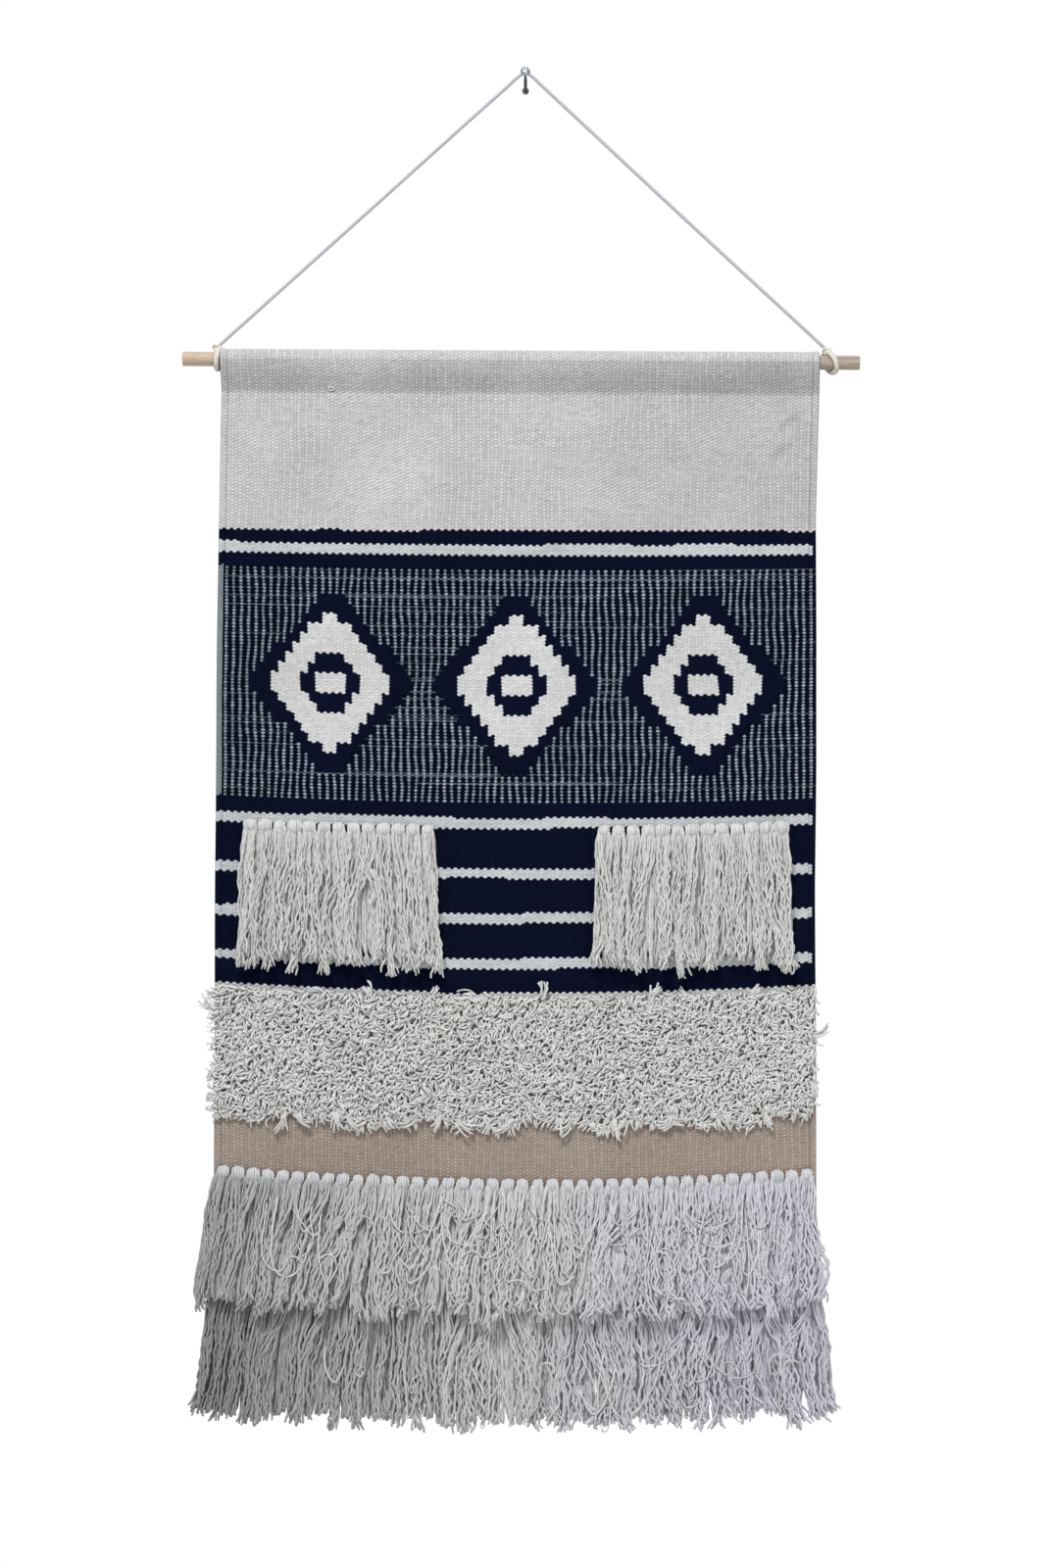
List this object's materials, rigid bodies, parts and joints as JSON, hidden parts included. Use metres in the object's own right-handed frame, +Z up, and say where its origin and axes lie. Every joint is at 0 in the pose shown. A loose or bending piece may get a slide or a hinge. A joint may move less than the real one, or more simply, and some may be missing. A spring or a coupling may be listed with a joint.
{
  "type": "woven wall hanging on a dowel, cord and screw",
  "caption": "Flat-woven wall hanging with a rod pocket on a wooden dowel, hung by a cord over a screw, with knotted fringe patches, a shaggy band and two tiers of fringe.",
  "frame": {"origin": "centre of the wall plug's flat back face, on the wall", "axes": "+Y into the wall, +Z up along the hanging, +X to the right as seen from the room"},
  "size_m": [0.567, 0.0455, 1.1478],
  "materials": {
    "plug_plastic": "matt",
    "screw_steel": "bright",
    "cord_cotton": "twisted cotton",
    "dowel_wood": "sanded, unvarnished",
    "cloth_cotton": "weft-faced flat weave",
    "pile_cotton": "short cut pile",
    "fringe_cotton": "plied cotton yarn"
  },
  "bodies": {
    "root": {"wall_plug": "plug_plastic", "screw": "screw_steel", "hanging_cord": "cord_cotton", "cord_loop_left": "cord_cotton", "cord_loop_right": "cord_cotton", "dowel": "dowel_wood", "cloth": "cloth_cotton", "pile_band": "pile_cotton", "fringe_patch_left": "fringe_cotton", "fringe_patch_right": "fringe_cotton", "fringe_upper": "fringe_cotton", "fringe_lower": "fringe_cotton"}
  },
  "joints": []
}
